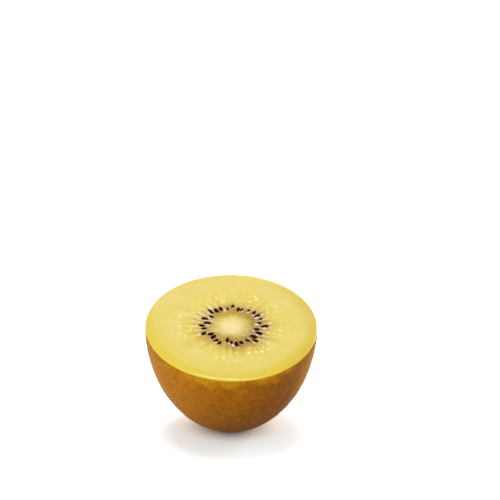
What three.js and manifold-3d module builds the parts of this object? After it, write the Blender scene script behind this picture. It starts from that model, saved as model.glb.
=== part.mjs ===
// A golden kiwi fruit cut in half across its middle, resting on its skin with the cut face up
// and leaning to the front. Sizes are millimetres, +Z is up and -Y is the front. The origin is
// the centre of the small flat spot that the half rests on.

import * as THREE from 'three';
import { mergeVertices } from 'three/addons/utils/BufferGeometryUtils.js';
import Module from 'manifold-3d';

const wasm = await Module();
wasm.setup();

const { degToRad, lerp, smoothstep } = THREE.MathUtils;

// The fruit
const CUT_RADIUS = 27; // half the fruit's width, where the knife went through
const POLE_DEPTH = 37.9; // cut face to stem end, half the fruit's length
const LEAN = 19; // degrees that the cut face leans to the front
const REST_SPOT_RADIUS = 4.5; // the skin is pressed flat where the half rests
const RIM_ROUNDING = 0.5; // edge between the skin and the cut face
const OVAL = 0.006; // share by which the fruit is wider one way than the other
const LOBES = 0.004; // share by which its three faint lobes stand out
const LOBE_TURN = 40; // degrees from +X to the first lobe

// The stem end
const SCAR_RADIUS = 2.2; // floor of the round scar that the stalk left
const SCAR_LIP_RADIUS = 3.4; // where the scar's wall meets the skin
const SCAR_DEPTH = 0.7;

// The cut face
const CHAMBERS = 32; // seed chambers round the core, with a thin wall between each two
const CORE_RADIUS = 5.4;
const CORE_RISE = 0.3; // the firm core swells above the knife's plane
const SEED_RING_RADIUS = 8.85;
const SEED_RING_SINK = 0.25; // the soft ring with the seeds sinks below it
const SEED_RING_WIDTH = 3;
const WALL_RISE = 0.1; // chamber walls stand out as rays
const WALL_REACH = 16; // and fade out this far from the middle

// The seeds
const SEED_COUNT = 32;
const SEED_LENGTH = 2.35;
const SEED_WIDTH = 1.2;
const SEED_THICKNESS = 0.9;
const SEED_TAPER = 0.35; // share by which the end towards the core is narrower
const SEED_STAGGER = 0.5; // every second seed lies this far outside the ring, the rest inside
const SEED_SPREAD = 2; // how far the seeds scatter along the radius
const SEED_DRIFT = 0.35; // how far they scatter round the core, as a share of their spacing
const SEED_RING_SHIFT = 0.45; // the ring is wider towards one side by this
const SEED_RING_SHIFT_AT = 46; // degrees from +X to that side
const SEED_TURN = 24; // degrees between the seeds that point furthest apart
const SEED_BURIED = 0.3; // the deepest seed's middle below the flesh
const SCATTER = 20718; // picks one of the many ways in which the seeds can lie

// How finely the round forms are cut into flat facets
const SIDES = CHAMBERS * 3;
const SKIN_ROWS = 14;
const SCAR_ROWS = 4;
const RIM_ROWS = 2;
const OUTER_FLESH_ROWS = 3;
const CHAMBER_ROWS = 7;
const CORE_ROWS = 3;
const SEED_SIDES = 7;
const SEED_ROWS = 5;
const FLOOR_SIZE = 60; // block that presses the rest spot flat

// A repeatable number from 0 to 1 for each whole number n and each purpose
function draw(n, purpose) {
  const wave = Math.sin(n * 12.9898 + (SCATTER + purpose / 10) * 78.233) * 43758.5453;
  return wave - Math.floor(wave);
}

// A closed three.js geometry as a solid that can be joined and cut
function solidOf(geometry) {
  const bare = new THREE.BufferGeometry();
  bare.setAttribute('position', geometry.getAttribute('position'));
  bare.setIndex(geometry.getIndex());
  const merged = mergeVertices(bare, 1e-4);
  const corners = merged.index.array;
  const triVerts = [];
  for (let i = 0; i < corners.length; i += 3) {
    const [a, b, c] = corners.slice(i, i + 3);
    if (a !== b && b !== c && c !== a) triVerts.push(a, b, c);
  }
  return new wasm.Manifold(new wasm.Mesh({
    numProp: 3,
    vertProperties: merged.getAttribute('position').array,
    triVerts: new Uint32Array(triVerts),
  }));
}

// The solid as a three.js geometry again
function geometryOf(solid) {
  const mesh = solid.getMesh();
  const geometry = new THREE.BufferGeometry();
  geometry.setAttribute('position', new THREE.BufferAttribute(mesh.vertProperties, 3));
  geometry.setIndex(new THREE.BufferAttribute(mesh.triVerts, 1));
  const faceted = geometry.toNonIndexed();
  faceted.computeVertexNormals();
  return faceted;
}

// Share by which the skin stands outside a round fruit, at an angle round the stem axis
function outOfRound(angle) {
  return OVAL * Math.cos(2 * angle) + LOBES * Math.cos(3 * (angle - degToRad(LOBE_TURN)));
}

// Height of the skin at the stem end above the plain oval form
function scarRise(radius) {
  return SCAR_DEPTH * (1 - smoothstep(radius, SCAR_RADIUS, SCAR_LIP_RADIUS));
}

// Height of the cut face above the knife's plane
function faceRise(radius, angle) {
  const core = CORE_RISE * (1 - smoothstep(radius, 0, CORE_RADIUS));
  const fromRing = (radius - SEED_RING_RADIUS) / SEED_RING_WIDTH;
  const ring = -SEED_RING_SINK * Math.exp(-fromRing * fromRing);
  const inWalls = smoothstep(radius, CORE_RADIUS - 1, CORE_RADIUS + 1)
    * (1 - smoothstep(radius, SEED_RING_RADIUS, WALL_REACH));
  return core + ring + WALL_RISE * inWalls * Math.cos(CHAMBERS * angle);
}

// The outline that is turned round the stem axis: stem end, skin, rounded rim, cut face
function outline() {
  const points = [];
  const onSkin = (radius) => {
    const drop = POLE_DEPTH * Math.sqrt(Math.max(0, 1 - (radius / CUT_RADIUS) ** 2));
    points.push(new THREE.Vector2(radius, scarRise(radius) - drop));
  };
  for (let i = 0; i <= SCAR_ROWS; i++) onSkin(SCAR_LIP_RADIUS * Math.sqrt(i / SCAR_ROWS));
  const scarTurn = Math.asin(SCAR_LIP_RADIUS / CUT_RADIUS);
  const rimTurn = Math.acos(RIM_ROUNDING / POLE_DEPTH);
  for (let i = 1; i <= SKIN_ROWS; i++) {
    onSkin(CUT_RADIUS * Math.sin(lerp(scarTurn, rimTurn, i / SKIN_ROWS)));
  }
  const edge = CUT_RADIUS - RIM_ROUNDING;
  for (let i = 1; i <= RIM_ROWS; i++) {
    const turn = degToRad(90) * i / RIM_ROWS;
    points.push(new THREE.Vector2(
      edge + RIM_ROUNDING * Math.cos(turn),
      RIM_ROUNDING * (Math.sin(turn) - 1),
    ));
  }
  const inward = (from, to, rows) => {
    for (let i = 1; i <= rows; i++) points.push(new THREE.Vector2(lerp(from, to, i / rows), 0));
  };
  inward(edge, WALL_REACH, OUTER_FLESH_ROWS);
  inward(WALL_REACH, CORE_RADIUS, CHAMBER_ROWS);
  inward(CORE_RADIUS, 0, CORE_ROWS);
  return points;
}

// Skin and flesh in one piece, with the relief of the cut face
function makeFlesh() {
  const geometry = new THREE.LatheGeometry(outline(), SIDES).rotateX(Math.PI / 2);
  const places = geometry.getAttribute('position');
  for (let i = 0; i < places.count; i++) {
    const [x, y, z] = [places.getX(i), places.getY(i), places.getZ(i)];
    const radius = Math.hypot(x, y);
    const angle = Math.atan2(y, x);
    const onFace = Math.abs(z) < 1e-6;
    const rise = onFace ? faceRise(radius, angle) : 0;
    const wider = 1 + outOfRound(angle) * smoothstep(radius, SCAR_LIP_RADIUS, CUT_RADIUS);
    places.setXYZ(i, x * wider, y * wider, z + rise);
  }
  return solidOf(geometry);
}

// One seed, half sunk in the flesh, with its narrow end towards the core
function makeSeed(n) {
  const seed = new THREE.SphereGeometry(1, SEED_SIDES, SEED_ROWS).rotateZ(Math.PI / 2);
  const places = seed.getAttribute('position');
  for (let i = 0; i < places.count; i++) {
    const narrower = 1 + SEED_TAPER * places.getX(i) / 2;
    places.setY(i, places.getY(i) * narrower);
    places.setZ(i, places.getZ(i) * narrower);
  }
  const size = 0.85 + 0.3 * draw(n, 1);
  seed.scale(size * SEED_LENGTH / 2, size * SEED_WIDTH / 2, size * SEED_THICKNESS / 2);
  seed.rotateZ(degToRad(SEED_TURN) * (draw(n, 2) - 0.5));
  const angle = 2 * Math.PI * (n + SEED_DRIFT * (draw(n, 3) - 0.5)) / SEED_COUNT;
  const stagger = n % 2 === 0 ? SEED_STAGGER : -SEED_STAGGER;
  const radius = SEED_RING_RADIUS + stagger + SEED_SPREAD * (draw(n, 4) - 0.5)
    + SEED_RING_SHIFT * Math.cos(angle - degToRad(SEED_RING_SHIFT_AT));
  seed.translate(radius, 0, faceRise(radius, angle) - SEED_BURIED * draw(n, 5));
  seed.rotateZ(angle);
  return solidOf(seed);
}

// The middle of the rest spot, in the fruit's own frame, with its stem axis along Z
function restSpot() {
  const lean = degToRad(LEAN);
  const across = CUT_RADIUS ** 2 * Math.sin(lean);
  const along = POLE_DEPTH ** 2 * Math.cos(lean);
  const reach = Math.sqrt(across * Math.sin(lean) + along * Math.cos(lean));
  const pressed = Math.sqrt(1 - (REST_SPOT_RADIUS / CUT_RADIUS) ** 2);
  return new THREE.Vector3(0, -across, -along).multiplyScalar(pressed / reach);
}

// Sets the fruit down with its rest spot at the origin and its cut face leaning to the front
const fruit = new THREE.Group();
fruit.rotation.x = degToRad(LEAN);
fruit.position.copy(restSpot().applyEuler(fruit.rotation).negate());
fruit.updateMatrix();

let half = makeFlesh();
for (let n = 0; n < SEED_COUNT; n++) half = half.add(makeSeed(n));
const floor = new THREE.BoxGeometry(FLOOR_SIZE, FLOOR_SIZE, FLOOR_SIZE)
  .translate(0, 0, -FLOOR_SIZE / 2)
  .applyMatrix4(fruit.matrix.clone().invert());
half = half.subtract(solidOf(floor));

const kiwiHalf = new THREE.Mesh(
  geometryOf(half),
  new THREE.MeshStandardMaterial({ color: 0xb9812c, roughness: 0.55, metalness: 0 }),
);
kiwiHalf.name = 'kiwi_half';
fruit.add(kiwiHalf);

const model = new THREE.Group();
model.add(fruit);

export default model;
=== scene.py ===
# The looks of a golden kiwi half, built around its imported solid.
# Everything is in metres in the solid's own frame: +Z is up and -Y is the front. Forms that follow
# the fruit are worked out in millimetres in its own frame, with the stem axis along Z and the
# knife's cut at z = 0, and are then leaned and set down as the solid is.

import math

import bpy
import numpy as np
from mathutils import Euler, Matrix, Vector, noise


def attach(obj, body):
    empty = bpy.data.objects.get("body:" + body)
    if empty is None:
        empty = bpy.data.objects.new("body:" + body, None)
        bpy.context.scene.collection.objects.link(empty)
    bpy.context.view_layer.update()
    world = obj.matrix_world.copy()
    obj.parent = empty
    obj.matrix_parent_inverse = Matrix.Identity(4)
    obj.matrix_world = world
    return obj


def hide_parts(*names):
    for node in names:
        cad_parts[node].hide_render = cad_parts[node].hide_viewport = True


bl_info = {
    "name": "Golden kiwi half",
    "version": (1, 0, 0),
    "blender": (4, 5, 0),
    "location": "View3D > Sidebar > Kiwi",
    "description": "Builds the half's flesh, skin, seeds and bristles, and a plain studio",
    "category": "Add Mesh",
}

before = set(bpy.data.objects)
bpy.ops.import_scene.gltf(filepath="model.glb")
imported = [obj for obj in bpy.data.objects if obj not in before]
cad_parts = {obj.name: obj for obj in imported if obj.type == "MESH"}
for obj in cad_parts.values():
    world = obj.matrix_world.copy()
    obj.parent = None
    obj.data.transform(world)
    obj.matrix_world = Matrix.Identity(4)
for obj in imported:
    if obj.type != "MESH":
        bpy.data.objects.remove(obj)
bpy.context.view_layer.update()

MM = 0.001
CAD_NODE = "kiwi_half"

# Forms that the solid has too
OVAL = 0.006  # share by which the fruit is wider one way than the other
LOBES = 0.004  # share by which its three faint lobes stand out
LOBE_TURN = 40  # degrees from +X to the first lobe
SCAR_RADIUS = 2.2
SCAR_LIP_RADIUS = 3.4
SCAR_DEPTH = 0.7
CHAMBERS = 32
CORE_RADIUS = 5.4
CORE_RISE = 0.3
SEED_RING_RADIUS = 8.85
SEED_RING_SINK = 0.25
SEED_RING_WIDTH = 3
WALL_RISE = 0.1
WALL_REACH = 16
SEED_SMALLEST = 0.85  # share of a middling seed's size
SEED_SIZES = 0.3  # range of sizes above the smallest
SEED_TAPER = 0.35
SEED_STAGGER = 0.5
SEED_SPREAD = 2
SEED_DRIFT = 0.35
SEED_RING_SHIFT = 0.45
SEED_RING_SHIFT_AT = 46
SEED_TURN = 24
SEED_BURIED = 0.3
SCATTER = 20718

# The fast wave whose fractions serve as random numbers, as in the solid
WAVE_STEP = 12.9898
WAVE_SHIFT = 78.233
WAVE_HEIGHT = 43758.5453

# How finely the forms are made
COLUMNS = CHAMBERS * 15
SKIN_ROWS = 88
SCAR_ROWS = 8
RIM_ROWS = 5
SKIN_RIM_ROWS = 2  # rows of the rim that are skin, the rest being flesh
OUTER_FLESH_ROWS = 34
RING_ROWS = 52
CORE_ROWS = 14
SEED_SIDES = 22
SEED_ROWS = 14
BRISTLE_SIDES = 3

# Fine relief: how wide and how high its forms are, in millimetres
DRAG_WIDTH = 5.0
DRAG_HEIGHT = 0.05
FIBRES = 26  # fineness of the streaks round the core
FIBRE_STRETCH = 0.12  # and along them
FIBRE_HEIGHT = 0.02
BANK_AT = 1.35  # jelly banked round each seed, whose outline is at 1
BANK_WIDTH = 0.35
BANK_HEIGHT = 0.06
SWELL_WIDTH = 6.0
SWELL_HEIGHT = 0.10
BUMP_WIDTH = 1.1
BUMP_HEIGHT = 0.045
CLEAR_OF_SEEDS = 9.0  # too far from the seeds to count, on that scale

# Where bristles stand, as shares of the way from the cut to the stem end
BRISTLE_FIRST = 0.03
BRISTLE_LAST = 0.985

# How bristles stand
GOLDEN_ANGLE = 137.508  # degrees from each bristle round to the next
BRISTLE_STRAY = 2  # radians by which it may stand further round
BRISTLE_SWEEP = 0.9  # how far they lean along the skin, mostly towards the cut
BRISTLE_SWEEP_BACK = 0.2  # share of that range which is away from the cut
BRISTLE_TANGLE = 0.8  # how far they lean any other way
BRISTLE_SHORTEST = 0.6  # share of a middling bristle's length
BRISTLE_LENGTHS = 0.8  # range of lengths above the shortest

# Rings along each bristle: share of its length from the skin, and share of its thickness
BRISTLE_RINGS = ((-0.5, 0.4), (-0.5, 1.0), (0.5, 0.6), (1.0, 0.12), (1.0, 0.01))

# Degrees from +X to where the ochre round the seeds reaches furthest out, and to where the
# painted glow in the flesh inside the skin is strongest
OCHRE_AT = -25
RIM_GLOW_AT = -94

# Wet beads of jelly beside the seeds, painted pale as glints, in millimetres
BEAD_SHARE = 0.6  # share of the seeds that have one
BEAD_SHIFT = 0.95  # from the seed's middle
BEAD_SIDE = 235  # degrees from +X to the side on which most lie
BEAD_SPREAD = 90  # degrees between those that lie furthest apart
BEAD_LENGTH = 1.9
BEAD_WIDTH = 1.3
BEAD_HEIGHT = 0.16

# Juice that stands on the front of the rim, painted pale as a highlight, in millimetres
JUICE_INSET = 0.7
JUICE_WIDTH = 0.45
JUICE_HEIGHT = 0.22
JUICE_AT = -97  # degrees from +X to its middle
JUICE_SPREAD = 18

# The floor, in metres
FLOOR_RADIUS = 6.0
FLOOR_SIDES = 96
FLOOR_DULLEST = (0.88, 0.91, 0.90)
FLOOR_BRIGHTEST = (0.90, 0.93, 0.92)
# Painted bounce light: the warm tint under the half
FLOOR_BOUNCE_TINT = (0.98, 0.79, 0.57)
# Colour of the floor's painted glow
FLOOR_LIGHT = (0.95, 1.0, 1.02)

# The floor's painted glow, dim in its middle as a painted shadow under the half, and the painted
# warm bounce of light there, in metres from its middle
DIM_RADIUS = 0.003
BRIGHT_RADIUS = 0.016
FULL_RADIUS = 0.06
NEAR_SHARE = 0.72  # share of the light that is reached at the bright radius
BOUNCE_RADIUS = 0.008
BOUNCE_END_RADIUS = 0.018
# Painted shadow: the dim middle is stretched to the sides into an oval
GLOW_OVAL = (0.90, 1.06, 1)  # distances count less to the sides, so the dim middle is oval

# Where the soft lights stand and how wide they are, in metres, and what they point at
LIGHTS = {
    "top_light": ((-0.05, 0.05, 0.95), 0.6),
    "left_light": ((-0.90, -0.20, 0.40), 1.0),
    "right_light": ((0.72, 0.60, 0.28), 0.5),
}
LIGHTS_AIM = (0, 0, 0.03)

# The camera's sensor in millimetres, and how near and far it sees in metres
SENSOR_WIDTH = 36
NEAREST_SEEN = 0.01
FURTHEST_SEEN = 50


def draw(n, purpose):
    """A repeatable number from 0 to 1 for each whole number n and each purpose."""
    wave = math.sin(n * WAVE_STEP + (SCATTER + purpose / 10) * WAVE_SHIFT) * WAVE_HEIGHT
    return wave - math.floor(wave)


def smoothstep(value, low, high):
    """Rises gently from 0 at low to 1 at high."""
    share = np.clip((value - low) / (high - low), 0, 1)
    return share * share * (3 - 2 * share)


def tint(name, description, default):
    """A colour that can be set in the panel."""
    return bpy.props.FloatVectorProperty(
        name=name, description=description, default=default, min=0, max=1, subtype="COLOR",
    )


def measure(name, description, default, low, high, precision=4):
    """A length that can be set in the panel."""
    return bpy.props.FloatProperty(
        name=name, description=description, default=default, min=low, max=high,
        unit="LENGTH", precision=precision,
    )


def watts(name, description, default):
    """A light's power that can be set in the panel."""
    return bpy.props.FloatProperty(
        name=name, description=description, default=default, min=0, max=100, unit="POWER",
    )


class KiwiForm(bpy.types.PropertyGroup):
    """Sizes of the half, which match its solid."""

    cut_radius: measure("Cut radius", "Half the fruit's width at the cut", 0.027, 0.02, 0.035)
    pole_depth: measure("Depth", "From the cut face to the stem end", 0.0379, 0.025, 0.05)
    lean: bpy.props.FloatProperty(
        name="Lean", description="How far the cut face leans to the front",
        default=math.radians(19), min=0, max=math.radians(40), subtype="ANGLE",
    )
    rest_spot_radius: measure("Rest spot", "Radius of the flat spot", 0.0045, 0.001, 0.01)
    rim_rounding: measure("Rim rounding", "Edge between skin and face", 0.0005, 0.0001, 0.002)


class KiwiFlesh(bpy.types.PropertyGroup):
    """Colours of the cut face, from the core outwards."""

    core: tint("Core", "The firm pale middle", (0.76, 0.66, 0.34))
    core_edge: tint("Core edge", "The yellower outer part of the core", (0.73, 0.60, 0.21))
    ring: tint(
        "Seed ring", "The ochre ring between the core and the seeds", (0.47, 0.292, 0.010),
    )
    flesh: tint("Flesh", "The outer flesh", (0.70, 0.56, 0.13))
    edge: tint("Edge", "The clearer flesh just inside the skin", (0.67, 0.505, 0.012))
    chamber: tint("Chambers", "The clear jelly in the seed chambers", (0.42, 0.28, 0.035))
    dot: tint("Dots", "The pale dots of cut strands", (0.86, 0.74, 0.28))
    tan: tint("Tan patches", "Flesh against the seeds' outer ends", (0.60, 0.33, 0.07))
    # Painted contact shade round the seeds, with the seeds' dark seen through the clear jelly
    shade: tint("Seed shade", "The jelly that the seeds darken", (0.31, 0.165, 0.016))
    # Painted glints: the pale colour of the wet beads beside the seeds
    bead: tint("Beads", "Pale wet beads of jelly beside the seeds", (0.80, 0.69, 0.56))
    wetness: bpy.props.FloatProperty(
        name="Wetness", description="How much clear juice shines on the cut face",
        default=0.35, min=0, max=1, subtype="FACTOR",
    )


class KiwiSkin(bpy.types.PropertyGroup):
    """Colours of the skin and its bristles."""

    # Painted glow: the shoulder is a lighter amber where the flesh would shine through
    shoulder: tint(
        "Shoulder", "Skin near the cut, where the flesh glows through", (0.36, 0.117, 0.001),
    )
    side: tint("Side", "Skin half way down", (0.180, 0.053, 0.001))
    # Painted shade: the skin goes darker towards the stem end, and darker still at the very bottom
    end: tint("Stem end", "Skin near the stem end", (0.115, 0.034, 0.001))
    freckle: tint("Freckles", "Small dark spots in the skin", (0.09, 0.022, 0.001))
    speck: tint("Specks", "Small light spots in the skin", (0.34, 0.145, 0.003))
    # Painted glow: flesh colour shining through the skin under the rim
    glow: tint(
        "Glow", "Flesh that glows through the skin just under the rim", (0.46, 0.21, 0.001),
    )
    # Painted light: the lighter, redder colour of the lit left side and of the sheen at the right
    # edge, also tinting the light specks
    blush_and_light: tint("Blush", "The redder side of the skin", (0.38, 0.135, 0.002))
    # Painted shade: the browner colour of the shaded right side
    shaded_side_tint: tint("Russet", "The browner side of the skin", (0.142, 0.035, 0.001))
    cork: tint("Cork", "Dry scar that the stalk left", (0.22, 0.14, 0.07))
    bristle: tint("Bristles", "Colour of the bristles", (0.34, 0.20, 0.08))


class KiwiSeeds(bpy.types.PropertyGroup):
    """Number, sizes and colours of the seeds."""

    count: bpy.props.IntProperty(
        name="Seeds", description="How many seeds the knife laid bare",
        default=32, min=1, max=60,
    )
    length: measure("Length", "Length of a middling seed", 0.00235, 0.001, 0.004, 5)
    width: measure("Width", "Width of a middling seed", 0.0012, 0.0005, 0.003)
    thickness: measure("Thickness", "Thickness of a middling seed", 0.0009, 0.0005, 0.003)
    coat: tint("Seed coat", "Colour of the seed coat", (0.018, 0.004, 0.001))
    pits: tint("Pits", "Colour of the faint pits in the coat", (0.10, 0.03, 0.01))


class KiwiBristles(bpy.types.PropertyGroup):
    """Number and sizes of the bristles."""

    count: bpy.props.IntProperty(
        name="Bristles", description="How many bristles stand on the skin",
        default=2600, min=0, max=6000,
    )
    length: measure("Length", "How far a middling bristle stands out", 0.00045, 0.0001, 0.002, 5)
    thickness: measure("Thickness", "Thickness at the bristle's foot", 0.00007, 0.00002, 0.0003, 5)


class KiwiStudio(bpy.types.PropertyGroup):
    """Camera, lights and floor."""

    camera_place: bpy.props.FloatVectorProperty(
        name="Camera place", description="Where the camera stands",
        default=(-0.00008, -0.54481, 0.23108), subtype="TRANSLATION", unit="LENGTH",
    )
    tilt: bpy.props.FloatProperty(
        name="Tilt", description="How far the camera looks down",
        default=math.radians(17.467), subtype="ANGLE",
    )
    pan: bpy.props.FloatProperty(
        name="Pan", description="How far the camera looks to the right",
        default=math.radians(0.569), subtype="ANGLE",
    )
    roll: bpy.props.FloatProperty(
        name="Roll", description="How far the camera leans to its left",
        default=math.radians(1.2835), subtype="ANGLE",
    )
    lens: bpy.props.FloatProperty(
        name="Lens", description="Focal length on a 36 mm wide sensor",
        default=130.85, min=20, max=300, unit="CAMERA",
    )
    top_light: watts("Top light", "Power of the soft light overhead", 6.4)
    left_light: watts("Left light", "Power of the soft light at the left", 2.75)
    right_light: watts("Right light", "Power of the soft light at the right", 6.5)
    surround: bpy.props.FloatProperty(
        name="Surround", description="Strength of the white room",
        default=0.42, min=0, max=3,
    )
    # Painted glow of the floor, which dims under the half into a painted shadow
    floor_glow: bpy.props.FloatProperty(
        name="Floor glow", description="Light of the white floor's own, as a light table has",
        default=0.56, min=0, max=3,
    )


# Shape of the fruit

def out_of_round(angle):
    """Share by which the skin stands outside a round fruit."""
    lobes = np.cos(3 * (angle - math.radians(LOBE_TURN)))
    return OVAL * np.cos(2 * angle) + LOBES * lobes


def scar_rise(radius):
    """Height of the skin at the stem end above the plain oval form."""
    return SCAR_DEPTH * (1 - smoothstep(radius, SCAR_RADIUS, SCAR_LIP_RADIUS))


def face_rise(radius, angle):
    """Height of the cut face above the knife's plane, as the solid has it."""
    core = CORE_RISE * (1 - smoothstep(radius, 0, CORE_RADIUS))
    from_ring = (radius - SEED_RING_RADIUS) / SEED_RING_WIDTH
    ring = -SEED_RING_SINK * np.exp(-from_ring * from_ring)
    inner = smoothstep(radius, CORE_RADIUS - 1, CORE_RADIUS + 1)
    outer = 1 - smoothstep(radius, SEED_RING_RADIUS, WALL_REACH)
    return core + ring + WALL_RISE * inner * outer * np.cos(CHAMBERS * angle)


def set_down(form):
    """The matrix that leans the fruit and sets its rest spot on the floor."""
    radius, depth = form.cut_radius, form.pole_depth
    across = radius**2 * math.sin(form.lean)
    along = depth**2 * math.cos(form.lean)
    reach = math.sqrt(across * math.sin(form.lean) + along * math.cos(form.lean))
    pressed = math.sqrt(1 - (form.rest_spot_radius / radius) ** 2)
    spot = Vector((0, -across, -along)) * (pressed / reach)
    lean = Matrix.Rotation(form.lean, 4, "X")
    return Matrix.Translation(-(lean @ spot)) @ lean


def outline(form):
    """Radius and height of each row from the stem end to the core, and the face's first row."""
    radius, depth = form.cut_radius / MM, form.pole_depth / MM
    rounding = form.rim_rounding / MM
    scar = SCAR_LIP_RADIUS * np.sqrt(np.arange(1, SCAR_ROWS + 1) / SCAR_ROWS)
    scar_turn = math.asin(SCAR_LIP_RADIUS / radius)
    rim_turn = math.acos(rounding / depth)
    turns = np.linspace(scar_turn, rim_turn, SKIN_ROWS + 1)[1:]
    skin = np.concatenate([scar, radius * np.sin(turns)])
    skin_height = scar_rise(skin) - depth * np.sqrt(np.maximum(0, 1 - (skin / radius) ** 2))
    edge = radius - rounding
    bend = np.linspace(0, math.pi / 2, RIM_ROWS + 1)[1:]
    rim, rim_height = edge + rounding * np.cos(bend), rounding * (np.sin(bend) - 1)
    face = np.concatenate([
        np.linspace(edge, WALL_REACH, OUTER_FLESH_ROWS + 1)[1:],
        np.linspace(WALL_REACH, CORE_RADIUS, RING_ROWS + 1)[1:],
        np.linspace(CORE_RADIUS, 0, CORE_ROWS + 1)[1:-1],
    ])
    radii = np.concatenate([skin, rim, face])
    heights = np.concatenate([skin_height, rim_height, np.zeros(len(face))])
    return radii, heights, len(skin) + RIM_ROWS - 1


# Where the seeds, beads and juice lie

def seed_places(seeds):
    """Each seed's radius, its angle round the core, its height, its own turn and its size."""
    places = []
    for n in range(seeds.count):
        angle = 2 * math.pi * (n + SEED_DRIFT * (draw(n, 3) - 0.5)) / seeds.count
        towards = math.cos(angle - math.radians(SEED_RING_SHIFT_AT))
        stagger = SEED_STAGGER if n % 2 == 0 else -SEED_STAGGER
        radius = SEED_RING_RADIUS + stagger + SEED_SPREAD * (draw(n, 4) - 0.5)
        radius += SEED_RING_SHIFT * towards
        height = float(face_rise(radius, angle)) - SEED_BURIED * draw(n, 5)
        turn = math.radians(SEED_TURN) * (draw(n, 2) - 0.5)
        size = SEED_SMALLEST + SEED_SIZES * draw(n, 1)
        places.append((radius, angle, height, turn, size))
    return places


def seen_from(x, y, middle, way):
    """Places on the face as distances from a middle, along a way and across it."""
    right, back = x - middle[0], y - middle[1]
    along = right * math.cos(way) + back * math.sin(way)
    across = back * math.cos(way) - right * math.sin(way)
    return along, across


def from_seeds(x, y, seeds):
    """How far points on the face lie from the nearest seed's middle, with its outline at 1."""
    nearest = np.full(x.shape, CLEAR_OF_SEEDS)
    for radius, angle, _, turn, size in seed_places(seeds):
        middle = radius * math.cos(angle), radius * math.sin(angle)
        along, across = seen_from(x, y, middle, angle + turn)
        length, width = size * seeds.length / MM / 2, size * seeds.width / MM / 2
        nearest = np.minimum(nearest, np.hypot(along / length, across / width))
    return nearest


def in_beads(x, y, seeds):
    """From 0 outside to 1 in the middle of the wet beads beside some seeds, painted pale as
    glints.
    """
    deepest = np.zeros(x.shape)
    for n, (radius, angle, _, turn, _) in enumerate(seed_places(seeds)):
        if draw(n, 6) > BEAD_SHARE:
            continue
        beside = BEAD_SHIFT * (0.8 + 0.4 * draw(n, 7))
        aside = math.radians(BEAD_SIDE + BEAD_SPREAD * (draw(n, 8) - 0.5))
        middle = (radius * math.cos(angle) + beside * math.cos(aside),
                  radius * math.sin(angle) + beside * math.sin(aside))
        along, across = seen_from(x, y, middle, angle + turn)
        size = 0.6 + 0.6 * draw(n, 9)
        far = np.hypot(along / (BEAD_LENGTH / 2), across / (BEAD_WIDTH / 2)) / size
        deepest = np.maximum(deepest, 1 - smoothstep(far, 0.3, 1.0))
    return deepest


def rim_juice(radius, angle, form):
    """From 0 to 1 in the thin line of juice on the front of the rim, which carries a painted
    highlight.
    """
    across = (radius - (form.cut_radius / MM - JUICE_INSET)) / JUICE_WIDTH
    turned = np.angle(np.exp(1j * (angle - math.radians(JUICE_AT)))) / math.radians(JUICE_SPREAD)
    return np.exp(-across**2) * np.exp(-turned**4)


# Meshes

def noisy(points, scale, octaves=2):
    """Smooth noise from about -1 to 1 at each point, with features about scale across."""
    flat = np.asarray(points, float).reshape(-1, 3) / scale
    values = [noise.fractal(Vector(p), 1.0, 2.0, octaves) for p in flat]
    return np.array(values).reshape(np.asarray(points).shape[:-1])


def smooth_mesh(name, points, faces):
    """A smoothly shaded mesh from points in millimetres and faces."""
    mesh = bpy.data.meshes.new(name)
    mesh.from_pydata(points * MM, [], faces)
    mesh.validate()
    mesh.shade_smooth()
    return mesh


def rows_to_mesh(name, rows):
    """A closed mesh from rings of points, with a middle point at each end."""
    count, columns = rows.shape[:2]
    ends = rows[0].mean(axis=0), rows[-1].mean(axis=0)
    points = np.concatenate([rows.reshape(-1, 3), ends])
    faces = []
    for row in range(count - 1):
        for column in range(columns):
            beside = (column + 1) % columns
            a, b = row * columns, (row + 1) * columns
            faces.append((a + column, a + beside, b + beside, b + column))
    end, first, last = (count - 1) * columns, count * columns, count * columns + 1
    for column in range(columns):
        beside = (column + 1) % columns
        faces.append((beside, column, first))
        faces.append((end + column, end + beside, last))
    return smooth_mesh(name, points, faces)


def add_piece(mesh, place, replaces):
    """Puts a mesh in the scene on the fruit, parents it to the root body and hides the part it
    replaces.
    """
    mesh.transform(place)
    piece = bpy.data.objects.new(mesh.name, mesh)
    bpy.context.scene.collection.objects.link(piece)
    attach(piece, "root")
    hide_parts(replaces)


def body_rows(form, seeds):
    """Rings of points over the whole half, its marks for the flesh, and the face's first row."""
    radii, heights, rim_row = outline(form)
    angles = np.arange(COLUMNS) * 2 * math.pi / COLUMNS
    radius, angle = np.meshgrid(radii, angles, indexing="ij")
    height = np.repeat(heights[:, None], COLUMNS, axis=1)
    on_face = np.arange(len(radii))[:, None] >= rim_row
    wider = 1 + out_of_round(angle) * smoothstep(radius, SCAR_LIP_RADIUS, form.cut_radius / MM)
    x, y = radius * np.cos(angle) * wider, radius * np.sin(angle) * wider
    marks = {
        "from_seed": np.where(on_face, from_seeds(x, y, seeds), CLEAR_OF_SEEDS),
        "bead": np.where(on_face, in_beads(x, y, seeds), 0.0),
        "juice": np.where(on_face, rim_juice(radius, angle, form), 0.0),
    }
    height = np.where(on_face, height + face_rise(radius, angle), height)
    points = np.stack([x, y, height], axis=-1)
    face = slice(rim_row, None)
    on_flesh = {name: values[face] for name, values in marks.items()}
    points[face, :, 2] += face_relief(points[face], radius[face], **on_flesh)
    points[:rim_row] += skin_relief(points[:rim_row], form)
    return points, marks, rim_row


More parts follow.
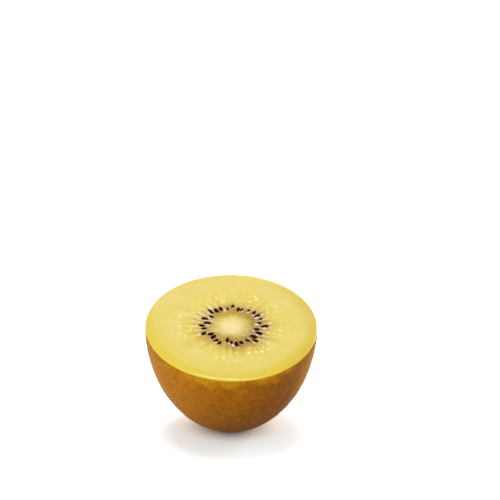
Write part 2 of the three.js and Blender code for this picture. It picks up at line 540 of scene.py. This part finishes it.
def face_relief(points, radius, from_seed, bead, juice):
    """Fine ups and downs of the wet cut face, jelly banked round the seeds, and juice."""
    drag = noisy(points * (1, 1, 0), DRAG_WIDTH, 3) * DRAG_HEIGHT
    unit = points[..., :2] / np.maximum(radius, 0.01)[..., None]
    spokes = np.concatenate([unit * FIBRES, radius[..., None] * FIBRE_STRETCH], axis=-1)
    round_seeds = smoothstep(radius, 3, 8) * (1 - smoothstep(radius, 11, 18))
    fibre = noisy(spokes, 1.0, 2) * FIBRE_HEIGHT * round_seeds
    bank = BANK_HEIGHT * np.exp(-((from_seed - BANK_AT) / BANK_WIDTH) ** 2)
    inside = 1 - smoothstep(radius, 25.2, 26.4)
    return (drag + fibre) * inside + bank + BEAD_HEIGHT * bead + JUICE_HEIGHT * juice


def skin_relief(points, form):
    """Shallow bumps of the skin, pushed out along the oval form's normal."""
    radius, depth = form.cut_radius / MM, form.pole_depth / MM
    outward = points / (radius**2, radius**2, depth**2)
    outward /= np.linalg.norm(outward, axis=-1, keepdims=True)
    below_rim = smoothstep(-points[..., 2], 0.4, 2.5)
    bumps = SWELL_HEIGHT * noisy(points, SWELL_WIDTH, 2)
    bumps = bumps + BUMP_HEIGHT * noisy(points, BUMP_WIDTH, 2) * below_rim
    return outward * (bumps * smoothstep(-points[..., 2], 0.0, 0.8))[..., None]


def bristle_foot(n, form, bristles):
    """Where a bristle is rooted in the skin, and its angle round the stem axis."""
    radius, depth = form.cut_radius / MM, form.pole_depth / MM
    # Even steps down the fruit, each turned on by the golden angle
    down = BRISTLE_FIRST + (BRISTLE_LAST - BRISTLE_FIRST) * (n + draw(n, 11)) / bristles.count
    angle = n * math.radians(GOLDEN_ANGLE) + BRISTLE_STRAY * draw(n, 12)
    wide = radius * math.sqrt(1 - down**2) * (1 + float(out_of_round(angle)))
    foot = np.array([wide * math.cos(angle), wide * math.sin(angle), -depth * down])
    return foot + skin_relief(foot[None, :], form)[0], angle


def bristle_turn(n, foot, angle, form):
    """The matrix that turns a bristle from +Z to the way it leans out of the skin."""
    radius, depth = form.cut_radius / MM, form.pole_depth / MM
    outward = Vector(foot / (radius**2, radius**2, depth**2)).normalized()
    along = outward.cross(Vector((-math.sin(angle), math.cos(angle), 0)))
    sweep = BRISTLE_SWEEP * (draw(n, 13) - BRISTLE_SWEEP_BACK)
    astray = Vector((draw(n, 14) - 0.5, draw(n, 15) - 0.5, draw(n, 16) - 0.5))
    lean = outward + along * sweep + astray * BRISTLE_TANGLE
    return np.array(lean.to_track_quat("Z", "X").to_matrix())


def bristle_rings(form, bristles):
    """Rings of points over each short thin bristle, rooted in the skin."""
    around = np.arange(BRISTLE_SIDES) * 2 * math.pi / BRISTLE_SIDES
    thick = bristles.thickness / MM / 2
    lots = []
    for n in range(bristles.count):
        foot, angle = bristle_foot(n, form, bristles)
        turn = bristle_turn(n, foot, angle, form)
        length = bristles.length / MM * (BRISTLE_SHORTEST + BRISTLE_LENGTHS * draw(n, 17))
        rings = []
        for share, width in BRISTLE_RINGS:
            ring = np.stack([width * thick * np.cos(around), width * thick * np.sin(around),
                             np.full(BRISTLE_SIDES, share * length)], axis=-1)
            rings.append(ring @ turn.T + foot)
        lots.append(np.array(rings))
    return lots


def press_flat(points, place):
    """Presses what would reach below the floor flat on it."""
    turn = np.array(place.to_3x3())
    shift = np.array(place.translation) / MM
    world = points @ turn.T + shift
    world[..., 2] = np.maximum(world[..., 2], 0)
    return (world - shift) @ turn


def store(mesh, name, values):
    """Keeps a number for each point of the mesh, which its material can read."""
    attribute = mesh.attributes.new(name, "FLOAT", "POINT")
    attribute.data.foreach_set("value", np.asarray(values, np.float32))


def seed_rings(place, seeds):
    """Rings of points over one seed, narrow towards the core."""
    radius, angle, height, turn, size = place
    along = np.cos(np.linspace(0, math.pi, SEED_ROWS + 1))
    around = np.arange(SEED_SIDES) * 2 * math.pi / SEED_SIDES
    swell = np.sqrt(np.maximum(0, 1 - along**2))
    narrower = 1 + SEED_TAPER * along / 2
    ring = (swell * narrower)[:, None]
    x = np.repeat(along[:, None], SEED_SIDES, axis=1)
    points = np.stack([x, ring * np.cos(around), ring * np.sin(around)], axis=-1)
    points *= size * np.array([seeds.length, seeds.width, seeds.thickness]) / MM / 2
    lay = (Matrix.Rotation(angle, 4, "Z") @ Matrix.Translation((radius, 0, height))
           @ Matrix.Rotation(turn, 4, "Z"))
    return points @ np.array(lay.to_3x3()).T + np.array(lay.translation)


def join_rings(name, lots):
    """One mesh from several closed forms, each given as rings of points from tip to tip."""
    points, faces = [], []
    for rings in lots:
        start, (count, sides) = len(points), rings.shape[:2]
        points.extend(rings[1:-1].reshape(-1, 3))
        points.extend((rings[0].mean(axis=0), rings[-1].mean(axis=0)))
        rows = count - 2
        for row in range(rows - 1):
            for side in range(sides):
                beside = (side + 1) % sides
                a, b = start + row * sides, start + (row + 1) * sides
                faces.append((a + side, b + side, b + beside, a + beside))
        end = start + (rows - 1) * sides
        first, last = start + rows * sides, start + rows * sides + 1
        for side in range(sides):
            beside = (side + 1) % sides
            faces.append((start + side, start + beside, first))
            faces.append((end + beside, end + side, last))
    return smooth_mesh(name, np.array(points), faces)


# Materials

def blended(first, second, share):
    """A colour between two others."""
    return tuple(a + (b - a) * share for a, b in zip(first, second))


class Finish:
    """A material's nodes, added and joined one at a time."""

    def __init__(self, name):
        self.material = bpy.data.materials.new(name)
        self.material.use_nodes = True
        self.tree = self.material.node_tree
        self.shader = self.tree.nodes["Principled BSDF"]

    def feed(self, socket, value):
        """Joins a node's output to a socket, or sets the socket to a number or colour."""
        if isinstance(value, bpy.types.NodeSocket):
            self.tree.links.new(value, socket)
        elif hasattr(value, "__len__") and len(value) == 3 and len(socket.default_value) == 4:
            socket.default_value = (*value, 1)
        else:
            socket.default_value = value

    def add(self, kind, inputs=None, output=0, **settings):
        """A node of a kind with its settings and inputs, as its output."""
        node = self.tree.nodes.new("ShaderNode" + kind)
        for name, value in settings.items():
            setattr(node, name, value)
        for name, value in (inputs or {}).items():
            self.feed(node.inputs[name], value)
        return node.outputs[output]

    def maths(self, operation, *values):
        """One operation on numbers, such as ADD or COSINE."""
        return self.add("Math", dict(enumerate(values)), operation=operation)

    def times(self, product, *others):
        """Numbers multiplied with each other."""
        for other in others:
            product = self.maths("MULTIPLY", product, other)
        return product

    def rise(self, value, low, high, start=0.0, end=1.0):
        """Goes smoothly from start to end as the value goes from low to high."""
        return self.add(
            "MapRange",
            {"Value": value, "From Min": low, "From Max": high, "To Min": start, "To Max": end},
            interpolation_type="SMOOTHSTEP",
        )

    def mix(self, share, first, second, blend="MIX"):
        """Mixes two colours."""
        node = self.tree.nodes.new("ShaderNodeMix")
        node.data_type = "RGBA"
        node.blend_type = blend
        self.feed(node.inputs[0], share)
        self.feed(node.inputs[6], first)
        self.feed(node.inputs[7], second)
        return node.outputs[2]

    def ramp(self, value, stops):
        """Colours at places from 0 to 1, with even steps between them."""
        node = self.tree.nodes.new("ShaderNodeValToRGB")
        self.feed(node.inputs[0], value)
        marks = node.color_ramp.elements
        while len(marks) < len(stops):
            marks.new(0.5)
        for mark, (place, colour) in zip(marks, stops):
            mark.position = place
            mark.color = (*colour, 1)
        return node.outputs[0]

    def cloud(self, vector, scale, detail=2.0, roughness=0.5):
        """Soft noise from 0 to 1."""
        return self.add("TexNoise", {
            "Vector": vector, "Scale": scale, "Detail": detail, "Roughness": roughness,
        })

    def cells(self, vector, scale, **settings):
        """Scattered points: how far the nearest one is, and a random colour for it."""
        far = self.add("TexVoronoi", {"Vector": vector, "Scale": scale}, "Distance", **settings)
        return far, far.node.outputs["Color"]

    def parts(self, value, kind="SeparateXYZ"):
        """The three numbers of a place or a colour."""
        return self.add(kind, {0: value}).node.outputs

    def mark(self, name):
        """The number that the mesh keeps for each point under a name."""
        return self.add("Attribute", output="Fac", attribute_name=name)

    def bump(self, height, distance, strength):
        """A normal that makes the surface look raised by a height from 0 to 1."""
        return self.add("Bump", {"Height": height, "Distance": distance, "Strength": strength})

    def finish(self, **inputs):
        """Sets the shader's own inputs, with their names in plain words."""
        for name, value in inputs.items():
            self.feed(self.shader.inputs[name.replace("_", " ")], value)
        return self.material


def fruit_place(f, form):
    """Place in the fruit's own frame in millimetres, with the stem axis along Z."""
    down = set_down(form)
    return f.add("Mapping", {
        "Vector": f.add("TexCoord", output="Object"), "Location": down.translation,
        "Rotation": down.to_euler(), "Scale": (MM, MM, MM),
    }, vector_type="TEXTURE")


def fruit_places(f, form):
    """Place in the fruit's frame, height in it, place on its cut, and radius and angle there."""
    place = fruit_place(f, form)
    x, y, z = f.parts(place)
    flat = f.add("CombineXYZ", {0: x, 1: y})
    radius = f.add("VectorMath", {0: flat}, output="Value", operation="LENGTH")
    return place, z, flat, radius, f.maths("ARCTAN2", y, x)


class Face:
    """What the layers of the flesh share: nodes, colours and places on the cut face."""

    def __init__(self, colours, form):
        f = Finish("golden_flesh")
        self.nodes, self.colours = f, colours
        self.place, _, flat, self.radius, self.angle = fruit_places(f, form)
        self.way = f.add("VectorMath", {0: flat}, operation="NORMALIZE")
        self.share = f.maths("DIVIDE", self.radius, form.cut_radius / MM)
        self.rays = self.streaks(7, 0.06, 3.0, 0.6)
        self.fibre = self.streaks(22, 0.12, 3.0)
        self.near, self.bead, self.juice = f.mark("from_seed"), f.mark("bead"), f.mark("juice")

    def streaks(self, around, outward, detail=2.0, roughness=0.5):
        """Soft noise from 0 to 1 that runs in streaks away from the core."""
        f = self.nodes
        ring = f.add("VectorMath", {0: self.way, "Scale": around}, operation="SCALE")
        x, y, _ = f.parts(ring)
        spokes = f.add("CombineXYZ", {0: x, 1: y, 2: f.times(self.radius, outward)})
        return f.cloud(spokes, 1.0, detail, roughness)

    def towards(self, degrees):
        """From -1 on the far side to 1 on the side that lies degrees from +X."""
        f = self.nodes
        return f.maths("COSINE", f.maths("SUBTRACT", self.angle, math.radians(degrees)))


def flesh_zones(face):
    """Colours from the pale core over the ochre seed ring to the yellow flesh."""
    f, colours = face.nodes, face.colours
    core, rind, ring = colours.core, colours.core_edge, colours.ring
    flesh, edge = colours.flesh, colours.edge
    # The core reaches a little less far to the front, and wanders all round
    narrower = f.rise(f.maths("SINE", face.angle), -1.0, -0.2, 1.09, 1.0)
    wander = f.rise(face.streaks(3.0, 0.08), 0.25, 0.75, 0.84, 1.09)
    return f.ramp(f.times(face.share, narrower, wander), [
        (0.0, core), (0.03, core), (0.075, blended(core, rind, 0.5)), (0.11, rind),
        (0.15, blended(rind, ring, 0.32)), (0.185, blended(rind, ring, 0.65)),
        (0.22, ring), (0.31, ring), (0.37, blended(ring, flesh, 0.55)),
        (0.44, blended(flesh, edge, 0.45)), (0.52, blended(flesh, edge, 0.3)), (0.64, flesh),
    ])


def broad_clouds(face, colour):
    """Broad paler and deeper clouds."""
    f, colours = face.nodes, face.colours
    broad = f.cloud(face.place, 0.13, 3.0)
    paler = blended(colours.flesh, colours.core, 0.5)
    deeper = blended(colours.flesh, colours.edge, 0.5)
    colour = f.mix(f.rise(broad, 0.50, 0.70, 0.0, 0.40), colour, paler)
    return f.mix(f.rise(broad, 0.50, 0.32, 0.0, 0.45), colour, deeper)


def soft_rays(face, colour):
    """Soft pale and deeper rays beyond the seeds."""
    f, share = face.nodes, face.share
    reach = f.times(f.rise(share, 0.30, 0.42), f.rise(share, 0.80, 0.50))
    paler = f.times(f.rise(face.rays, 0.50, 0.68, 0.0, 0.3), reach)
    deeper = f.times(f.rise(face.rays, 0.50, 0.32, 0.0, 0.36), reach)
    return f.mix(deeper, f.mix(paler, colour, face.colours.dot), face.colours.ring)


def fine_streaks(face, colour):
    """Fine streaks out of the core and round the seeds."""
    f, share = face.nodes, face.share
    streaks = f.times(
        f.rise(face.fibre, 0.42, 0.70), f.rise(share, 0.12, 0.20),
        f.rise(share, 0.48, 0.28, 0.0, 0.38),
    )
    return f.mix(streaks, colour, blended(face.colours.ring, face.colours.chamber, 0.6))


def seed_chambers(face, colour):
    """Clear chambers between pale walls, deeper in some places than in others."""
    f, share = face.nodes, face.share
    uneven = face.streaks(2.0, 0.0)
    waves = f.maths("COSINE", f.times(face.angle, CHAMBERS))
    reach = f.rise(uneven, 0.35, 0.65, 0.40, 0.66)
    hollow = f.times(
        f.rise(waves, 0.8, -0.9), f.rise(share, 0.22, 0.32),
        f.rise(f.maths("DIVIDE", share, reach), 1.0, 0.5),
        f.rise(uneven, 0.38, 0.62, 0.05, 0.6),
    )
    return f.mix(hollow, colour, face.colours.chamber)


def ochre_rays(face, colour):
    """Ochre that reaches further out at the front and the right, in ragged rays."""
    f, colours, share = face.nodes, face.colours, face.share
    ochre = f.times(
        f.rise(face.towards(OCHRE_AT), -0.2, 0.8, 0.17, 0.96), f.rise(share, 0.60, 0.36),
        f.rise(face.rays, 0.65, 0.35, 0.6, 1.0),
    )
    colour = f.mix(f.times(ochre, f.rise(share, 0.24, 0.34)), colour, colours.ring)
    brown = f.times(f.rise(share, 0.20, 0.28), f.rise(share, 0.50, 0.36))
    return f.mix(f.times(ochre, brown), colour, colours.shade)


def tan_patches(face, colour):
    """Tan patches against the outer ends of the seeds."""
    f, share = face.nodes, face.share
    tan = f.times(
        f.rise(f.cloud(face.place, 0.4, 2.0), 0.50, 0.64),
        f.rise(share, 0.34, 0.40), f.rise(share, 0.52, 0.44), 0.7,
    )
    return f.mix(tan, colour, face.colours.tan)


def strand_dots(face, colour):
    """Pale dots of cut strands, in loose groups a little way outside the seeds."""
    f, share = face.nodes, face.share
    groups = f.rise(f.cloud(face.place, 0.22, 2.0), 0.44, 0.56, 0.1, 1.0)
    band = f.times(f.rise(share, 0.39, 0.45), f.rise(share, 0.72, 0.56), groups)
    for scale, pale in ((0.50, 0.9), (0.88, 0.6)):
        far, random = f.cells(face.place, scale, voronoi_dimensions="2D")
        kept, size, _ = f.parts(random, "SeparateColor")
        reach = f.rise(size, 0.0, 1.0, 0.32, 0.54)
        dot = f.rise(f.maths("DIVIDE", far, reach), 1.0, 0.2)
        dot = f.times(dot, f.rise(kept, 0.45, 0.75), band, pale)
        colour = f.mix(dot, colour, face.colours.dot)
    return colour


def rim_band_and_glow(face, colour):
    """Clearer, deeper yellow inside the skin, with painted glow strongest at the front, and ochre
    at the right.
    """
    f, colours, share = face.nodes, face.colours, face.share
    # Painted glow: the band is strongest and reaches furthest in at the front
    glow_at_front = f.rise(face.towards(RIM_GLOW_AT), -0.5, 0.75, 0.08, 1.0)
    patchy = f.rise(face.streaks(3.0, 0.0), 0.3, 0.7, -0.012, 0.012)
    patchy = f.maths("ADD", patchy, f.times(glow_at_front, 0.05))
    inside_skin = f.rise(f.maths("ADD", share, patchy), 0.87, 1.0)
    for reach in (f.rise(share, 0.60, 1.0, 0.0, 0.6), inside_skin):
        colour = f.mix(f.times(reach, glow_at_front), colour, colours.edge)
    at_right = f.rise(f.maths("COSINE", face.angle), 0.3, 0.9, 0.0, 0.32)
    return f.mix(f.times(at_right, f.rise(share, 0.78, 1.0)), colour, colours.ring)


def jelly_glints_and_shade(face, colour):
    """Painted highlight on the rim's juice, brown round the seeds, and painted glints on the wet
    beads.
    """
    f, colours = face.nodes, face.colours
    # Painted highlight: the juice on the rim is painted pale with the core's colour
    colour = f.mix(f.times(face.juice, 0.8), colour, colours.core)
    # Brown close by each seed: painted contact shade, and the seed's dark seen through the jelly
    colour = f.mix(f.rise(face.near, 1.5, 1.0, 0.0, 0.6), colour, colours.shade)
    # Painted glints: the wet beads are painted pale
    return f.mix(f.times(face.bead, 0.75), colour, colours.bead)


def flesh_finish(colours, form):
    """Wet golden flesh: pale core, ochre ring, clear chambers, fine rays and pale dots."""
    face = Face(colours, form)
    f = face.nodes
    colour = flesh_zones(face)
    for layer in (broad_clouds, soft_rays, fine_streaks, seed_chambers, ochre_rays,
                  tan_patches, strand_dots, rim_band_and_glow, jelly_glints_and_shade):
        colour = layer(face, colour)
    ridges = f.times(face.fibre, f.rise(face.share, 0.55, 0.38), 0.4)
    height = f.maths("ADD", ridges, f.times(f.cloud(face.place, 1.4, 4.0), 0.5))
    rough = f.rise(f.cloud(face.place, 0.45, 3.0), 0.35, 0.65, 0.30, 0.5)
    return f.finish(
        Base_Color=colour, Roughness=f.maths("SUBTRACT", rough, f.times(face.bead, 0.2)),
        Normal=f.bump(height, 0.12 * MM, 0.7), IOR=1.38,
        Subsurface_Weight=0.5, Subsurface_Radius=(1.0, 0.62, 0.22), Subsurface_Scale=1.2 * MM,
        Coat_Weight=f.maths("MAXIMUM", face.juice, colours.wetness), Coat_Roughness=0.12,
    )


class Skin:
    """What the layers of the skin share: nodes, colours, places, and spots in the skin."""

    def __init__(self, colours, form):
        f = Finish("golden_skin")
        self.nodes, self.colours = f, colours
        self.place, self.height, _, self.radius, angle = fruit_places(f, form)
        self.across, self.away = f.maths("COSINE", angle), f.maths("SINE", angle)
        uneven = f.rise(f.cloud(self.place, 0.16, 3.0), 0.3, 0.7, -0.05, 0.05)
        down = f.maths("DIVIDE", self.height, -form.pole_depth / MM)
        self.down = f.maths("ADD", down, uneven)
        # Painted light makes the left side lighter and redder, painted shade the front right
        # browner
        redder = f.rise(self.across, 0.3, -0.9, 0.0, 0.9)
        self.lit_side = f.times(redder, f.rise(self.down, 0.75, 0.25, 0.72, 1.0))
        browner = f.rise(self.across, 0.1, 0.6, 0.0, 0.7)
        self.browner = f.times(browner, f.rise(self.away, 0.9, -0.3, 0.25, 1.0))
        self.grain = f.cloud(self.place, 1.5, 3.0, 0.6)
        redder = blended(colours.speck, colours.blush_and_light, 0.7)
        self.pale = f.mix(f.rise(f.cloud(self.place, 0.7), 0.4, 0.6), colours.speck, redder)
        far, random = f.cells(self.place, 0.85)
        depth = f.parts(random, "SeparateColor")[1]
        self.freckles = f.times(f.rise(far, 0.45, 0.12), f.rise(depth, 0.2, 0.8))
        # Dry cork in the scar that the stalk left
        ragged = f.maths("ADD", self.radius, f.rise(self.grain, 0.3, 0.7, -0.4, 0.4))
        scar = f.rise(ragged, SCAR_LIP_RADIUS, SCAR_RADIUS)
        self.cork = f.times(scar, f.rise(self.down, 0.5, 0.6))
        self.flaky = f.rise(f.cloud(self.place, 2.4, 4.0, 0.7), 0.35, 0.65)


def skin_zones(skin):
    """Painted glow near the cut, painted shade lower down, painted light at the left and shade at
    the right.
    """
    f, colours = skin.nodes, skin.colours
    shoulder, side, end = colours.shoulder, colours.side, colours.end
    # Painted glow near the cut, and painted shade growing darker towards the stem end at the
    # bottom
    colour = f.ramp(skin.down, [
        (0.0, shoulder), (0.05, shoulder), (0.12, blended(shoulder, side, 0.6)),
        (0.30, side), (0.70, end), (1.0, blended(end, (0, 0, 0), 0.3)),
    ])
    colour = f.mix(skin.lit_side, colour, colours.blush_and_light)
    colour = f.mix(skin.browner, colour, colours.shaded_side_tint)
    # Painted sheen: the right edge goes back to the lighter, redder colour
    right_edge_sheen = f.times(f.rise(skin.across, 0.70, 1.0, 0.0, 0.8), f.rise(skin.down, 0.02, 0.12))
    return f.mix(right_edge_sheen, colour, colours.blush_and_light)


def rim_glow(skin, colour):
    """Painted glow of flesh shining through the skin at its cut edge and under the front of the
    rim.
    """
    f = skin.nodes
    glow = f.times(f.rise(skin.down, 0.085, 0.0), f.rise(skin.away, -0.5, -0.95))
    glow = f.maths("MAXIMUM", glow, f.rise(skin.height, -0.7, 0.0, 0.0, 0.8))
    return f.mix(glow, colour, skin.colours.glow)


def skin_grain(skin, colour):
    """Fine and coarse grain, lighter and darker, and stronger on the redder side painted as lit.
    """
    f, colours, grain = skin.nodes, skin.colours, skin.grain
    dark = blended(colours.end, colours.freckle, 0.5)
    colour = f.mix(f.rise(grain, 0.50, 0.70, 0.0, 0.36), colour, skin.pale)
    colour = f.mix(f.rise(grain, 0.50, 0.30, 0.0, 0.38), colour, dark)
    coarse = f.cloud(skin.place, 0.5, 2.0)
    colour = f.mix(f.rise(coarse, 0.50, 0.70, 0.0, 0.2), colour, skin.pale)
    colour = f.mix(f.rise(coarse, 0.50, 0.30, 0.0, 0.2), colour, colours.end)
    lifted = f.mix(1.0, colour, f.rise(grain, 0.35, 0.65, 0.88, 1.22), "MULTIPLY")
    return f.mix(skin.lit_side, colour, lifted)


def skin_spots(skin, colour):
    """Small dark freckles and light specks, and grey-brown cork in the scar."""
    f, colours = skin.nodes, skin.colours
    colour = f.mix(f.times(skin.freckles, 0.4), colour, colours.freckle)
    far, _ = f.cells(skin.place, 0.95)
    specks = f.times(f.rise(far, 0.42, 0.12), f.rise(skin.browner, 0.0, 0.7, 0.3, 0.15))
    colour = f.mix(specks, colour, skin.pale)
    flakes = f.mix(skin.flaky, colours.cork, blended(colours.cork, colours.freckle, 0.6))
    return f.mix(skin.cork, colour, flakes)


def skin_finish(colours, form):
    """Thin satin skin: painted glow near the cut, painted shade below, freckles and fine grain."""
    skin = Skin(colours, form)
    f = skin.nodes
    colour = skin_zones(skin)
    for layer in (rim_glow, skin_grain, skin_spots):
        colour = layer(skin, colour)
    height = f.maths("SUBTRACT", skin.grain, f.times(skin.freckles, 0.4))
    height = f.maths("ADD", height, f.times(skin.flaky, skin.cork))
    return f.finish(
        Base_Color=colour, Roughness=f.rise(skin.grain, 0.3, 0.7, 0.45, 0.62),
        Normal=f.bump(height, 0.15 * MM, 0.6), Specular_IOR_Level=0.04, IOR=1.4,
        Subsurface_Weight=0.15, Subsurface_Radius=(1.0, 0.4, 0.08), Subsurface_Scale=1.2 * MM,
    )


def bristle_finish(skin):
    """Dull brown bristles."""
    f = Finish("bristles")
    cloud = f.cloud(f.add("TexCoord", output="Object"), 0.8 / MM)
    darker = blended(skin.bristle, skin.freckle, 0.6)
    colour = f.mix(f.rise(cloud, 0.3, 0.7), skin.bristle, darker)
    return f.finish(Base_Color=colour, Roughness=0.7, Specular_IOR_Level=0.1)


def seed_finish(seeds, form):
    """Smooth brown-black seed coat, wet, with faint pits."""
    f = Finish("seed_coat")
    pits = f.cloud(fruit_place(f, form), 3.0, 3.0)
    browner = blended(seeds.coat, seeds.pits, 0.5)
    return f.finish(
        Base_Color=f.mix(f.rise(pits, 0.50, 0.80), seeds.coat, browner),
        Roughness=f.rise(pits, 0.3, 0.7, 0.2, 0.32), Normal=f.bump(pits, 0.05 * MM, 0.5),
        Specular_IOR_Level=0.06, Specular_Tint=(1.0, 0.45, 0.2), IOR=1.45,
    )


def floor_finish(glow):
    """White studio floor: a painted glow that dims to a painted shadow under the half, warmed by
    painted bounce.
    """
    f = Finish("studio_floor")
    place = f.add("TexCoord", output="Object")
    colour = f.ramp(f.cloud(place, 2.0), [(0.0, FLOOR_DULLEST), (1.0, FLOOR_BRIGHTEST)])
    oval = f.add("VectorMath", {0: place, 1: GLOW_OVAL}, operation="MULTIPLY")
    away = f.add("VectorMath", {0: oval}, output="Value", operation="LENGTH")
    near_light = f.rise(away, DIM_RADIUS, BRIGHT_RADIUS, 0.0, NEAR_SHARE * glow)
    far_light = f.rise(away, DIM_RADIUS, FULL_RADIUS, 0.0, (1 - NEAR_SHARE) * glow)
    return f.finish(
        Base_Color=f.mix(f.rise(away, BOUNCE_RADIUS, BOUNCE_END_RADIUS), FLOOR_BOUNCE_TINT, colour),
        Roughness=0.9, Specular_IOR_Level=0.0, Emission_Color=FLOOR_LIGHT,
        Emission_Strength=f.maths("ADD", near_light, far_light),
    )


# Operators

class KIWI_OT_half(bpy.types.Operator):
    """Builds the half's flesh and skin as one closed mesh"""

    bl_idname = "kiwi.half"
    bl_label = "Flesh and skin"

    def execute(self, context):
        scene = context.scene
        form = scene.kiwi_form
        place = set_down(form)
        points, marks, rim_row = body_rows(form, scene.kiwi_seeds)
        points = press_flat(points, place)
        mesh = rows_to_mesh("kiwi_flesh_and_skin", points)
        for name, values in marks.items():
            store(mesh, name, np.append(values.ravel(), [values[0, 0], values[-1, 0]]))
        mesh.materials.append(flesh_finish(scene.kiwi_flesh, form))
        mesh.materials.append(skin_finish(scene.kiwi_skin, form))
        mark_skin(mesh, rim_row, len(points))
        add_piece(mesh, place, CAD_NODE)
        return {"FINISHED"}


def mark_skin(mesh, rim_row, rows):
    """Gives the second material to the skin's faces, with those round the stem end's middle."""
    skin_faces = (rim_row - RIM_ROWS + SKIN_RIM_ROWS) * COLUMNS
    end_faces = (rows - 1) * COLUMNS
    which = np.zeros(len(mesh.polygons), np.int32)
    which[:skin_faces] = 1
    which[end_faces::2] = 1
    mesh.polygons.foreach_set("material_index", which)


class KIWI_OT_seeds(bpy.types.Operator):
    """Lays the seeds round the core, half sunk in the flesh"""

    bl_idname = "kiwi.seeds"
    bl_label = "Seeds"

    def execute(self, context):
        scene = context.scene
        seeds = scene.kiwi_seeds
        lots = [seed_rings(place, seeds) for place in seed_places(seeds)]
        mesh = join_rings("kiwi_seeds", lots)
        mesh.materials.append(seed_finish(seeds, scene.kiwi_form))
        add_piece(mesh, set_down(scene.kiwi_form), CAD_NODE)
        return {"FINISHED"}


class KIWI_OT_bristles(bpy.types.Operator):
    """Roots very short bristles all over the skin"""

    bl_idname = "kiwi.bristles"
    bl_label = "Bristles"

    def execute(self, context):
        scene = context.scene
        form = scene.kiwi_form
        place = set_down(form)
        lots = [press_flat(rings, place) for rings in bristle_rings(form, scene.kiwi_bristles)]
        mesh = join_rings("kiwi_bristles", lots)
        mesh.materials.append(bristle_finish(scene.kiwi_skin))
        add_piece(mesh, place, CAD_NODE)
        return {"FINISHED"}


class KIWI_OT_studio(bpy.types.Operator):
    """Lays the white floor and sets up the lights and the camera"""

    bl_idname = "kiwi.studio"
    bl_label = "Studio"

    def execute(self, context):
        scene = context.scene
        studio = scene.kiwi_studio
        add_floor(scene, studio.floor_glow)
        add_lights(scene, studio)
        add_camera(scene, studio)
        scene.view_settings.view_transform = "Standard"
        return {"FINISHED"}


def add_floor(scene, glow):
    """A wide round floor."""
    turns = [2 * math.pi * n / FLOOR_SIDES for n in range(FLOOR_SIDES)]
    points = [(FLOOR_RADIUS * math.cos(t), FLOOR_RADIUS * math.sin(t), 0) for t in turns]
    mesh = bpy.data.meshes.new("studio_floor")
    mesh.from_pydata(points, [], [range(FLOOR_SIDES)])
    mesh.materials.append(floor_finish(glow))
    floor = bpy.data.objects.new("studio_floor", mesh)
    scene.collection.objects.link(floor)


def add_soft_light(scene, name, place, size, power):
    """A round soft light that points at the half."""
    lamp = bpy.data.lights.new(name, "AREA")
    lamp.shape = "DISK"
    lamp.size = size
    lamp.energy = power
    light = bpy.data.objects.new(name, lamp)
    light.location = place
    towards_half = Vector(LIGHTS_AIM) - Vector(place)
    light.rotation_euler = towards_half.to_track_quat("-Z", "Y").to_euler()
    scene.collection.objects.link(light)


def add_lights(scene, studio):
    """A white room, a soft light overhead and one at each side."""
    world = bpy.data.worlds.new("white_room")
    world.use_nodes = True
    backdrop = world.node_tree.nodes["Background"]
    backdrop.inputs["Color"].default_value = (1, 1, 1, 1)
    backdrop.inputs["Strength"].default_value = studio.surround
    scene.world = world
    for name, (place, size) in LIGHTS.items():
        add_soft_light(scene, name, place, size, getattr(studio, name))


def add_camera(scene, studio):
    """The camera at the photograph's viewing angle."""
    lens = bpy.data.cameras.new("camera")
    lens.lens = studio.lens
    lens.sensor_width = SENSOR_WIDTH
    lens.clip_start, lens.clip_end = NEAREST_SEEN, FURTHEST_SEEN
    camera = bpy.data.objects.new("camera", lens)
    look = Euler((math.pi / 2 - studio.tilt, 0, -studio.pan)).to_matrix()
    camera.matrix_world = Matrix.Translation(studio.camera_place) @ (
        look @ Matrix.Rotation(studio.roll, 3, "Z")
    ).to_4x4()
    scene.collection.objects.link(camera)
    scene.camera = camera


class KIWI_PT_panel(bpy.types.Panel):
    """Sizes, colours and buttons for the half"""

    bl_idname = "KIWI_PT_panel"
    bl_label = "Golden kiwi half"
    bl_space_type = "VIEW_3D"
    bl_region_type = "UI"
    bl_category = "Kiwi"

    def draw(self, context):
        for settings in SETTINGS:
            group = getattr(context.scene, settings)
            box = self.layout.box()
            for name in group.__annotations__:
                box.prop(group, name)
        for operator in OPERATORS:
            self.layout.operator(operator.bl_idname)


SETTINGS = {
    "kiwi_form": KiwiForm,
    "kiwi_flesh": KiwiFlesh,
    "kiwi_skin": KiwiSkin,
    "kiwi_seeds": KiwiSeeds,
    "kiwi_bristles": KiwiBristles,
    "kiwi_studio": KiwiStudio,
}
OPERATORS = (KIWI_OT_half, KIWI_OT_seeds, KIWI_OT_bristles, KIWI_OT_studio)


def register():
    for name, group in SETTINGS.items():
        bpy.utils.register_class(group)
        setattr(bpy.types.Scene, name, bpy.props.PointerProperty(type=group))
    for part in (*OPERATORS, KIWI_PT_panel):
        bpy.utils.register_class(part)


def unregister():
    for part in (KIWI_PT_panel, *reversed(OPERATORS)):
        bpy.utils.unregister_class(part)
    for name, group in reversed(SETTINGS.items()):
        delattr(bpy.types.Scene, name)
        bpy.utils.unregister_class(group)


def main():
    """Builds everything."""
    register()
    bpy.ops.kiwi.studio()
    bpy.ops.kiwi.half()
    bpy.ops.kiwi.seeds()
    bpy.ops.kiwi.bristles()


if __name__ == "__main__":
    main()
